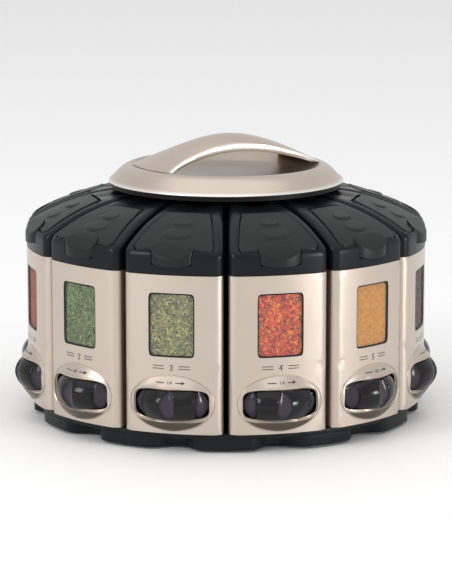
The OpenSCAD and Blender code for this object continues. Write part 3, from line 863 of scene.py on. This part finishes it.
def spice_mesh(s, f, shape, seed):
    """The spice: a wedge-shaped bulk behind the window, with loose grains laid against the pane.

    Each grain is a small box, stretched, turned at random and pushed against the pane's inside.
    """
    rng = np.random.default_rng(seed)
    centre = np.array([88.0, 0.0])
    plan = wedge(f.radius - 4.5, 37.0, f.gap + 4.9, 1.5)
    angles = bearings(centre, plan)
    ring = cast(plan, centre, angles)
    rows = []
    for shrink in (1.0, 0.5, 0.02):
        p = centre + (ring - centre) * shrink
        z = np.maximum(40.3, 60.3 - (p[:, 0] - 34) * 0.41)
        rows.insert(0, np.hstack([p, z[:, None]]))
    for shrink in (1.0, 0.9, 0.6, 0.3, 0.02):
        p = centre + (ring - centre) * shrink
        z = s.fill - 3.0 + 3.0 * (1 - shrink) + 0.5 * np.sin(p[:, 1] * 0.7) * (1 - shrink)
        rows.append(np.hstack([p, z[:, None]]))
    skin = Skin().grid(np.stack(rows), around=True)
    face = f.radius - (2.3 if shape else 1.5)
    y, z = np.meshgrid(np.linspace(-13.4, 13.4, 25), np.linspace(f.window_z - 18, f.window_z + 18, 25))
    slab = [np.stack([np.sqrt(r**2 - y**2), y, z], -1) for r in (f.radius - 6, face)]
    skin.grid(slab[1])
    skin.grid(slab[0], flip=True)
    for i in (0, -1):
        skin.grid([slab[0][i], slab[1][i]])
        skin.grid([slab[0][:, i], slab[1][:, i]])
    bulk = len(np.vstack(skin.verts))
    n = s.grains if shape else 0
    if n:
        size = np.array(shape) * rng.uniform(0.6, 1.25, (n, 1)) * rng.uniform(0.8, 1.2, (n, 3)) / 2
        cube = np.array([[x, y, z] for x in (-1, 1) for y in (-1, 1) for z in (-1, 1)], float)
        cube[:, :2] *= np.array([1.0, 0.75, 0.8, 1.0, 0.7, 1.0, 1.0, 0.8])[:, None]
        q = rng.normal(size=(n, 4))
        q /= np.linalg.norm(q, axis=1)[:, None]
        w, x, y, z = q.T
        spin = np.array([
            [1 - 2 * (y * y + z * z), 2 * (x * y - z * w), 2 * (x * z + y * w)],
            [2 * (x * y + z * w), 1 - 2 * (x * x + z * z), 2 * (y * z - x * w)],
            [2 * (x * z - y * w), 2 * (y * z + x * w), 1 - 2 * (x * x + y * y)],
        ]).transpose(2, 0, 1)
        local = np.einsum("nij,nkj->nki", spin, cube[None] * size[:, None, :])
        side = rng.uniform(-13.2, 13.2, n)
        high = f.window_z + rng.uniform(-17.8, 17.8, n)
        deep = f.radius - 1.65 - 0.9 * rng.uniform(0, 1.0, n) ** 1.5
        at = np.stack([np.sqrt(deep**2 - side**2), side, high], -1)
        local[..., 0] = np.minimum(local[..., 0], 0.25)
        pts = local + at[:, None]
        quads = np.array([[0, 1, 3, 2], [4, 6, 7, 5], [0, 4, 5, 1], [2, 3, 7, 6], [0, 2, 6, 4], [1, 5, 7, 3]])
        skin.faces.append((quads[None] + 8 * np.arange(n)[:, None, None]).reshape(-1, 4) + skin.count)
        skin.verts.append(pts.reshape(-1, 3))
        skin.count += 8 * n
    me = bpy.data.meshes.new("spice")
    me.from_pydata((np.vstack(skin.verts) * MM).tolist(), [], np.vstack(skin.faces).tolist())
    tone = np.concatenate([np.full(bulk, 0.35), np.repeat(rng.uniform(0, 1, n), 8)])
    me.attributes.new("tone", "FLOAT", "POINT").data.foreach_set("value", tone.astype(np.float32))
    bm = bmesh.new()
    bm.from_mesh(me)
    bmesh.ops.recalc_face_normals(bm, faces=bm.faces)
    bm.to_mesh(me)
    bm.free()
    return me


def print_mesh(f, i):
    """Flat print on the face: the dispenser's number between two short rules, laid along the front arc."""
    co, faces = lettering(str(i), 4.8)
    flat = [co + [0, 46.0]]
    count = len(co)
    for side in (-1, 1):
        x = np.linspace(4.2, 10.5, 9) * side
        for y in (46.9, 48.4):
            strip = np.concatenate([np.stack([x, 0 * x + y], -1), np.stack([x, 0 * x + y + 0.45], -1)])
            flat.append(strip)
            for k in range(8):
                q = [count + k, count + k + 1, count + k + 10, count + k + 9]
                faces.append(q if side > 0 else q[::-1])
            count += 18
    p = np.vstack(flat)
    r = f.radius + 0.05
    pts = np.stack([r * np.cos(p[:, 0] / r), r * np.sin(p[:, 0] / r), p[:, 1]], -1)
    made = bpy.data.meshes.new("print")
    made.from_pydata((pts * MM).tolist(), [], faces)
    return made


def mark_mesh(f):
    """Print on the hood: a thin line, 1/4 and an arrow, laid on the bezel's cone."""
    me = lettering("1/4", 2.3)
    co, faces = me
    flat = [co + [-0.2, 39.3]]
    count = len(co)
    for x0, x1 in ((-8.0, -3.2), (3.2, 6.6)):
        x = np.linspace(x0, x1, 6)
        flat.append(np.concatenate([np.stack([x, 0 * x + 39.9], -1), np.stack([x, 0 * x + 40.2], -1)]))
        faces += [[count + k, count + k + 1, count + k + 7, count + k + 6] for k in range(5)]
        count += 12
    flat.append(np.array([[6.4, 39.3], [8.2, 40.05], [6.4, 40.8]]))
    faces.append([count, count + 1, count + 2])
    p = np.vstack(flat)
    pts = np.stack([cone_u(*p.T, f) + 0.36, p[:, 0], p[:, 1]], -1)
    made = bpy.data.meshes.new("mark")
    made.from_pydata((pts * MM).tolist(), [], faces)
    return made


def lettering(text, size):
    """Flat points and faces of a short text, centred, made from a text curve."""
    curve = bpy.data.curves.new("print", "FONT")
    curve.body = text
    curve.size = size
    curve.align_x = "CENTER"
    curve.resolution_u = 3
    o = bpy.data.objects.new("print", curve)
    bpy.context.scene.collection.objects.link(o)
    me = bpy.data.meshes.new_from_object(o)
    bpy.data.objects.remove(o)
    co = np.empty(len(me.vertices) * 3)
    me.vertices.foreach_get("co", co)
    return co.reshape(-1, 3)[:, :2], [list(p.vertices) for p in me.polygons]


SPICES = [  # kind and size of a grain along its three sides, for dispensers 1 to 12
    ("paprika", None), ("parsley", (1.7, 1.1, 0.3)), ("thyme", (2.4, 0.5, 0.45)), ("pepper", (2.3, 1.7, 0.5)),
    ("cinnamon", None), ("mustard", (1.1, 1.0, 0.9)), ("parsley", (2.0, 1.3, 0.3)), ("paprika", None),
    ("thyme", (2.0, 0.6, 0.5)), ("cinnamon", None), ("mustard", (1.2, 1.1, 1.0)), ("pepper", (1.8, 1.4, 0.5)),
]


class RACK_OT_fronts(bpy.types.Operator):
    """Builds the metal-look fronts with their print"""

    bl_idname = "rack.fronts"
    bl_label = "Fronts"

    def execute(self, context):
        f = context.scene.rack_front
        proto, mark = front_mesh(f), mark_mesh(f)
        for i in range(1, COUNT + 1):
            body = name("dispenser", i)
            show(proto, name("front", i), body, LOOKS["nickel"], [name("shell", i)], heading(i))
            show(print_mesh(f, i), name("print", i), body, LOOKS["print"], (), heading(i))
            show(mark, name("mark", i), body, LOOKS["print"], (), heading(i))
        return {"FINISHED"}


class RACK_OT_dials(bpy.types.Operator):
    """Builds the fluted measuring dials"""

    bl_idname = "rack.dials"
    bl_label = "Dials"

    def execute(self, context):
        proto = dial_mesh(context.scene.rack_dial)
        for i in range(1, COUNT + 1):
            show(proto, name("wheel", i), name("dial", i), LOOKS["dial"], [name("dial", i)], heading(i))
        return {"FINISHED"}


class RACK_OT_tops(bpy.types.Operator):
    """Builds the black caps and their hinged lids"""

    bl_idname = "rack.tops"
    bl_label = "Caps and lids"

    def execute(self, context):
        s, f = context.scene.rack_cap, context.scene.rack_front
        cap, lid = cap_mesh(s, f), lid_mesh(s)
        for i in range(1, COUNT + 1):
            body = name("dispenser", i)
            show(cap, name("cap", i), body, LOOKS["canister"], [name("canister", i)], heading(i))
            show(lid, name("flap", i), name("lid", i), LOOKS["lid"], [name("lid", i)], heading(i))
        return {"FINISHED"}


class RACK_OT_boxes(bpy.types.Operator):
    """Builds the window panes, and shows each box, outlet plate and click leaf as a merged copy of its CAD solid"""

    bl_idname = "rack.boxes"
    bl_label = "Containers"

    def execute(self, context):
        pane, rim = pane_meshes(context.scene.rack_front)
        for i in range(1, COUNT + 1):
            node, body = name("canister", i), name("dispenser", i)
            show(pane, name("pane", i), body, LOOKS["pane"], [node], heading(i))
            show(rim, name("rim", i), body, LOOKS["canister"], [node], heading(i))
            made = parts_of(node)
            if len(made) != 5:
                raise RuntimeError(f"{node} has {len(made)} solids, not 5")
            for me in made:
                co = np.empty(len(me.vertices) * 3)
                me.vertices.foreach_get("co", co)
                co = co.reshape(-1, 3) / MM
                r = np.hypot(co[:, 0], co[:, 1])
                z0, z1 = co[:, 2].min(), co[:, 2].max()
                if z0 > SHELL[3] or (r.min() > 100 and z0 > 40):
                    continue
                if z1 - z0 > 60:
                    label, look = "box", "canister"
                elif r.max() < 84:
                    label, look = "leaf", "screw"
                else:
                    label, look = "outlet", "canister"
                show(me, name(label, i), body, LOOKS[look], [node])
        return {"FINISHED"}


class RACK_OT_spices(bpy.types.Operator):
    """Fills each container with its spice"""

    bl_idname = "rack.spices"
    bl_label = "Spices"

    def execute(self, context):
        s, f = context.scene.rack_spice, context.scene.rack_front
        for i in range(1, COUNT + 1):
            kind, shape = SPICES[(i - 1) % len(SPICES)]
            me = spice_mesh(s, f, shape, s.seed + i)
            show(me, name("spice", i), name("dispenser", i), LOOKS[kind], (), heading(i))
        return {"FINISHED"}


class RACK_OT_crown(bpy.types.Operator):
    """Builds the dome and its carrying handle"""

    bl_idname = "rack.crown"
    bl_label = "Dome and handle"

    def execute(self, context):
        s = context.scene.rack_top
        rim, seam = s.rim, s.seam
        z0, z1 = DOME[2], DOME[3]
        t = np.linspace(0, 1, 12)
        climb = np.sin(t * math.pi / 2 * 0.94) ** 0.9
        ring = np.stack([rim - 2.6 - (rim - 2.6 - seam) * t, z0 + 2.4 + (z1 - z0 - 2.7) * climb], -1)
        bowl = [[seam - 0.5, z1 - 0.25], [seam - 1.2, z1 - 0.5], [seam - 2.4, z1 - 1.1], [seam - 5, z1 - 2.7],
                [46.6, z1 - 4.9], [45.6, z1 - 5.5], [44, z1 - 6.0], [36, z1 - 6.9],
                [24, z1 - 7.6], [12, z1 - 7.9], [0.01, z1 - 8]]
        edge = [[rim - 1.8, z0], [rim - 0.5, z0], [rim, z0 + 0.4], [rim - 0.2, z0 + 0.8], [rim - 2.2, z0 + 2.15]]
        outer = np.vstack([edge, ring, bowl])
        under = [[0.01, z1 - 9.8], [30, z1 - 9.2], [45.5, z1 - 7.2], [seam, z1 - 2.3],
                 [rim - 8, z0 + 4], [rim - 3.4, z0 + 0.4], edge[0]]
        skin = Skin().grid(lathe(np.vstack([outer, under])), around=True)
        dome = skin.mesh("dome", angle=28)
        # painted shade inside the bowl, and a painted highlight (negative shade) on the rim's bead
        x, y, _ = points(dome).T
        r = np.hypot(x, y)
        painted(dome, 0.42 * ease(-r, -seam - 0.5, -seam + 3) - 0.7 * ease(r, rim - 2.1, rim - 1.4))
        show(dome, "dome_skin", "turntable", LOOKS["nickel"], ["dome"])
        grip = self.grip(z1, HANDLE[3] - z1)
        show(grip, "handle_skin", "turntable", LOOKS["nickel"], ["handle"], s.turn)
        return {"FINISHED"}

    def grip(self, z1, height):
        """The handle: an arched band, its ridge falling with a power of the distance, its edges chamfered."""
        s = np.linspace(-1, 1, 97)[:, None]
        full = 53.0
        ridge = height * (1 - ((s * s + 0.008) / 1.008) ** 0.9)
        wide = 14 + 9 * np.abs(s) ** 2.2
        edge = np.maximum(ridge - 4.6 * (1 - s**2), 0.2)
        across = np.linspace(-1, 1, 25)[None, :] * 0.955
        z = edge + (ridge - edge) * (1 - across**2)
        x = full * s * (1 - 0.085 * across**2 * s**2)
        top = np.stack([x + 0 * across, wide * across, z1 + z], -1)
        thick = np.clip(2.6 * (1 - s**2) + 0.5, 0.5, 2.3)
        low_z = np.maximum(np.minimum(z - thick, ridge - 7.4 * (1 - s**2) - 1.6), -0.5)
        along = full * s * (1 - 0.085 * s**2)
        left, right = [
            [np.stack([along, wide * side, z1 + edge - drop], -1) for side, drop in lip]
            for lip in (((-1.0, thick * 0.75), (-0.985, 0.15)), ((0.985, 0.15), (1.0, thick * 0.75)))
        ]
        upper = np.concatenate([*left, top, *right], 1)
        lower = np.stack([x + 0 * across, wide * across, z1 + np.minimum(low_z, z - 0.4)], -1)[:, ::-1]
        band = np.concatenate([upper, lower], 1)
        skin = Skin().grid(band, around=True)
        me = skin.mesh("handle", angle=32)
        # painted highlight: negative shade makes a near-white band along the chamfered edges
        x, y, z = points(me).T
        s = np.abs(x) / full
        return painted(me, -0.9 * ease(np.abs(y) / (14 + 9 * s**2.2), 0.96, 0.98) * ease(z, z1 - 0.4, z1 + 0.2))


def tray_mesh(s):
    """The base: a plate over a skirt whose radius swings between lobes and hollows, with a rail per dispenser."""
    lo, top, far = TRAY[2], CAN[2] - 0.3, TRAY[1]
    a = np.linspace(0, 2 * math.pi, COUNT * 32, endpoint=False)
    away = np.degrees(np.abs((a + HALF) % (2 * HALF) - HALF))
    t = np.clip((away - 7) / (np.degrees(HALF) - 8.5), 0, 1)
    lobe = far - s.scallop * t * t * (3 - 2 * t)
    plate = np.maximum(far - 0.6, lobe)
    deck = top - s.plate

    def row(r, z):
        r, z = r + 0 * a, z + 0 * a
        return np.stack([r * np.cos(a), r * np.sin(a), z], -1)

    rows = [row(10.2, deck), row(10.2, top), row(60, top), row(plate - 1.2, top)]
    rows += [row(plate - 0.7 * (1 - math.sin(k)), top - 0.7 * (1 - math.cos(k))) for k in np.radians([0, 30, 60, 90])]
    rows += [row(plate, deck + 0.5), row(plate - 0.15, deck + 0.12), row(np.maximum(plate - 0.5, lobe), deck)]
    rows += [row(lobe + 0.02, deck - 0.05), row(lobe, deck - 0.5), row(lobe, lo + 0.9)]
    rows += [row(lobe - 0.9 * (1 - math.cos(k)), lo + 0.9 * (1 - math.sin(k))) for k in np.radians([30, 60, 90])]
    rows += [row(far - 12.5, lo), row(far - 12.5, deck), row(10.2, deck)]
    skin = Skin().grid(np.stack(rows), around=True)
    for i in range(1, COUNT + 1):
        c, q = math.cos(heading(i)), math.sin(heading(i))
        plan = np.array([[39, -3], [71, -3], [71, 3], [39, 3]]) @ np.array([[c, q], [-q, c]])
        mid = np.broadcast_to(plan.mean(0), plan.shape)
        levels = ((mid, top - 0.1), (plan, top - 0.1), (plan, top + 3), (mid, top + 3))
        skin.grid(np.stack([np.hstack([m, np.full((4, 1), z)]) for m, z in levels]), around=True)
    return skin.mesh("tray", angle=30)


class RACK_OT_rest(bpy.types.Operator):
    """Gives the base, the bearing and the frame their finishes"""

    bl_idname = "rack.rest"
    bl_label = "Base and frame"

    def execute(self, context):
        show(tray_mesh(context.scene.rack_base), "tray_skin", "turntable", LOOKS["base"], ["tray"])
        looks = {"foot_plate": "foot", "foot_pads": "rubber", "bearing_balls": "ball", "ball_cage": "cage",
                 "pivot_screw": "screw", "column": "frame", "crown": "frame", "dome_trim": "trim",
                 "frame_screws": "screw"}
        for node, look in looks.items():
            o = frame["nodes"][node]
            o.data.materials.clear()
            o.data.materials.append(LOOKS[look])
        return {"FINISHED"}


class RACK_OT_stage(bpy.types.Operator):
    """Sets the floor, lights and camera"""

    bl_idname = "rack.stage"
    bl_label = "Stage"

    def execute(self, context):
        s = context.scene.rack_stage
        me = bpy.data.meshes.new("floor")
        h = s.floor
        me.from_pydata([(-h, -h, 0), (h, -h, 0), (h, h, 0), (-h, h, 0)], [], [(0, 1, 2, 3)])
        me.materials.append(material("floor_paper", {"Base Color": (0.9, 0.9, 0.9), "Roughness": 0.7}))
        floor = bpy.data.objects.new("floor", me)
        context.scene.collection.objects.link(floor)
        world = bpy.data.worlds.new("studio")
        context.scene.world = world
        world.use_nodes = True
        back = world.node_tree.nodes["Background"]
        back.inputs["Color"].default_value = (1, 1, 1, 1)
        back.inputs["Strength"].default_value = 0.8
        self.lamp(context, "key", (-1.75, -1.35, 1.0), 0.8, s.key)
        self.lamp(context, "fill", (1.7, -1.1, 0.3), 0.45, s.key * 0.9)
        self.lamp(context, "top", (-0.2, -0.4, 2.2), 3.0, s.key * 0.9)
        cam = bpy.data.cameras.new("camera")
        cam.lens = s.lens
        cam.sensor_width = 36
        cam.clip_start, cam.clip_end = 0.05, 50
        o = bpy.data.objects.new("camera", cam)
        aim(o, (0, -1.5571, 0.3645), (0, 0, 0.0685))
        context.scene.collection.objects.link(o)
        context.scene.camera = o
        context.scene.view_settings.view_transform = "Standard"
        return {"FINISHED"}

    def lamp(self, context, label, at, size, power):
        """A square soft light aimed at the rack."""
        light = bpy.data.lights.new(label, "AREA")
        light.size, light.energy = size, power
        o = bpy.data.objects.new(label, light)
        aim(o, at, (0, 0, 0.07))
        context.scene.collection.objects.link(o)


def aim(o, at, target):
    """Puts an object somewhere, looking at a point."""
    o.location = at
    o.rotation_euler = (Vector(target) - Vector(at)).to_track_quat("-Z", "Y").to_euler()


class RACK_PT_panel(bpy.types.Panel):
    """Sidebar panel with each step and its settings"""

    bl_label = "Spice rack"
    bl_idname = "RACK_PT_panel"
    bl_space_type = "VIEW_3D"
    bl_region_type = "UI"
    bl_category = "Spice rack"

    def draw(self, context):
        for group, steps in PANEL:
            box = self.layout.box()
            if group:
                settings = getattr(context.scene, group)
                for key in settings.bl_rna.properties.keys():
                    if key not in ("rna_type", "name"):
                        box.prop(settings, key)
            for step in steps:
                box.operator(step.bl_idname)


GROUPS = {"rack_front": FrontSettings, "rack_dial": DialSettings, "rack_cap": CapSettings,
          "rack_base": BaseSettings, "rack_spice": SpiceSettings, "rack_top": TopSettings,
          "rack_stage": StageSettings}
PANEL = [("rack_front", [RACK_OT_fronts]), ("rack_dial", [RACK_OT_dials]), ("rack_cap", [RACK_OT_tops]),
         (None, [RACK_OT_boxes]), ("rack_spice", [RACK_OT_spices]), ("rack_top", [RACK_OT_crown]),
         ("rack_base", [RACK_OT_rest]), ("rack_stage", [RACK_OT_stage])]


def register():
    for group in GROUPS.values():
        bpy.utils.register_class(group)
    for key, group in GROUPS.items():
        setattr(bpy.types.Scene, key, bpy.props.PointerProperty(type=group))
    for _, steps in PANEL:
        for step in steps:
            bpy.utils.register_class(step)
    bpy.utils.register_class(RACK_PT_panel)


def unregister():
    bpy.utils.unregister_class(RACK_PT_panel)
    for _, steps in PANEL:
        for step in steps:
            bpy.utils.unregister_class(step)
    for key, group in GROUPS.items():
        delattr(bpy.types.Scene, key)
        bpy.utils.unregister_class(group)


def main():
    """Builds every piece and the stage."""
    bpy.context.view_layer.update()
    register()
    make_materials()
    bpy.ops.rack.rest()
    bpy.ops.rack.boxes()
    bpy.ops.rack.fronts()
    bpy.ops.rack.dials()
    bpy.ops.rack.tops()
    bpy.ops.rack.spices()
    bpy.ops.rack.crown()
    bpy.ops.rack.stage()


if __name__ == "__main__":
    main()
